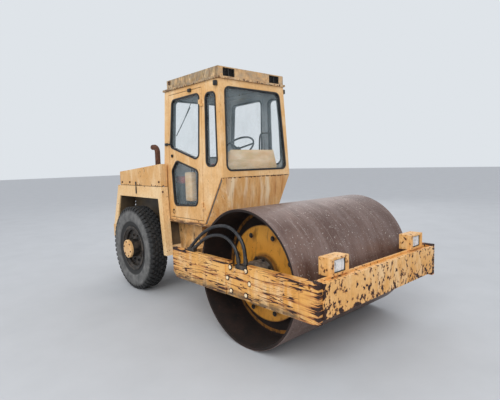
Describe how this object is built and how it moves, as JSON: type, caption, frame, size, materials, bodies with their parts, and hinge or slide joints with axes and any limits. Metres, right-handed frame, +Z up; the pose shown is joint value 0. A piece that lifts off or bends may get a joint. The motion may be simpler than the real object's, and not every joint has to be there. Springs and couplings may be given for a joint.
{
  "type": "road roller",
  "caption": "Ride-on soil compactor with a smooth steel drum in a hinged front frame, a glazed cab and lugged rear tyres.",
  "frame": {"origin": "on the ground, halfway along the machine, on its centre plane", "axes": "+Z up, -Y the way it drives, -X its right side"},
  "size_m": [2.25, 4.99, 3.2],
  "materials": {
    "yellow_paint": "weathered, scratched and rusty",
    "yellow_disc": "weathered",
    "drum_steel": "rusty rolled steel",
    "dark_steel": "greasy dark paint",
    "engine_iron": "rough",
    "rod_chrome": "polished",
    "rusty_pipe": "rusty",
    "tyre_rubber": "worn",
    "black_rubber": "worn",
    "black_plastic": "matt",
    "seat_red": "worn cover",
    "glass": "clear, dusty"
  },
  "bodies": {
    "rear_frame": {"chassis": "dark_steel", "rear_axle": "dark_steel", "engine_block": "engine_iron", "fenders": "yellow_paint", "rear_wall": "yellow_paint", "rear_grille": "dark_steel", "rear_bumper": "dark_steel", "cab_side_right": "yellow_paint", "cab_side_left": "yellow_paint", "windscreen_frame": "yellow_paint", "cab_glass": "glass", "cab_rear": "yellow_paint", "cab_roof": "yellow_paint", "cab_floor": "dark_steel", "cab_lower_front": "yellow_paint", "seat": "seat_red", "dashboard": "black_plastic", "steering_column": "black_plastic"},
    "hinge_block": {"hinge_block": "dark_steel"},
    "drum_frame": {"side_beams": "yellow_paint", "front_crossbar": "yellow_paint", "rear_crossbar": "yellow_paint", "scraper": "dark_steel", "drum_motors": "dark_steel", "headlamps": "yellow_paint", "lamp_lenses": "glass", "swing_bearing": "dark_steel", "hoses": "black_rubber", "hose_fittings": "dark_steel"},
    "drum": {"drum_shell": "drum_steel", "drum_heads": "dark_steel", "drum_discs": "yellow_disc"},
    "wheel_right": {"rim_right": "dark_steel", "tyre_right": "tyre_rubber"},
    "wheel_left": {"rim_left": "dark_steel", "tyre_left": "tyre_rubber"},
    "door_right": {"door_right": "yellow_paint", "door_glass_right": "glass"},
    "door_left": {"door_left": "yellow_paint", "door_glass_left": "glass"},
    "hood": {"hood": "yellow_paint", "exhaust_pipe": "rusty_pipe"},
    "cylinder_barrel": {"cylinder_barrel": "dark_steel"},
    "cylinder_rod": {"cylinder_rod": "rod_chrome"},
    "steering_wheel": {"steering_wheel": "black_plastic"}
  },
  "joints": [
    {"name": "steering", "type": "hinge", "parent": "rear_frame", "child": "hinge_block", "pos_m": [0, 0.039, 0.75], "axis": [0, 0, 1], "range_deg": [-35, 35]},
    {"name": "frame_swing", "type": "hinge", "parent": "hinge_block", "child": "drum_frame", "pos_m": [0, 0.039, 0.75], "axis": [0, 1, 0], "range_deg": [-10, 10]},
    {"name": "drum_roll", "type": "hinge", "parent": "drum_frame", "child": "drum", "pos_m": [0, -1.411, 0.75], "axis": [1, 0, 0], "continuous": true},
    {"name": "wheel_right_roll", "type": "hinge", "parent": "rear_frame", "child": "wheel_right", "pos_m": [-0.78, 1.459, 0.665], "axis": [1, 0, 0], "continuous": true},
    {"name": "wheel_left_roll", "type": "hinge", "parent": "rear_frame", "child": "wheel_left", "pos_m": [0.78, 1.459, 0.665], "axis": [1, 0, 0], "continuous": true},
    {"name": "door_right_swing", "type": "hinge", "parent": "rear_frame", "child": "door_right", "pos_m": [-0.643, -0.14, 1.17033], "axis": [0.0186, 0, 0.9998], "range_deg": [0, 70]},
    {"name": "door_left_swing", "type": "hinge", "parent": "rear_frame", "child": "door_left", "pos_m": [0.643, -0.14, 1.17033], "axis": [0.0186, 0, -0.9998], "range_deg": [0, 70]},
    {"name": "hood_tilt", "type": "hinge", "parent": "rear_frame", "child": "hood", "pos_m": [0, 2.131, 1.675], "axis": [-1, 0, 0], "range_deg": [0, 60]},
    {"name": "steering_wheel_turn", "type": "hinge", "parent": "rear_frame", "child": "steering_wheel", "pos_m": [0, -0.156, 2.18], "axis": [0, 0.6157, 0.788], "continuous": true},
    {"name": "cylinder_turn", "type": "hinge", "parent": "rear_frame", "child": "cylinder_barrel", "pos_m": [0.33, 1.019, 0.83], "axis": [0, 0, 1], "range_deg": [-8, 8]},
    {"name": "cylinder_stroke", "type": "slide", "parent": "cylinder_barrel", "child": "cylinder_rod", "axis": [-0.1065, -0.9943, 0], "range_m": [-0.15, 0.15]}
  ],
  "couplings": [
    {"joint": "cylinder_turn", "follows": "steering", "ratio": -0.029131},
    {"joint": "cylinder_stroke", "follows": "steering", "m_per_rad": -0.21457}
  ]
}
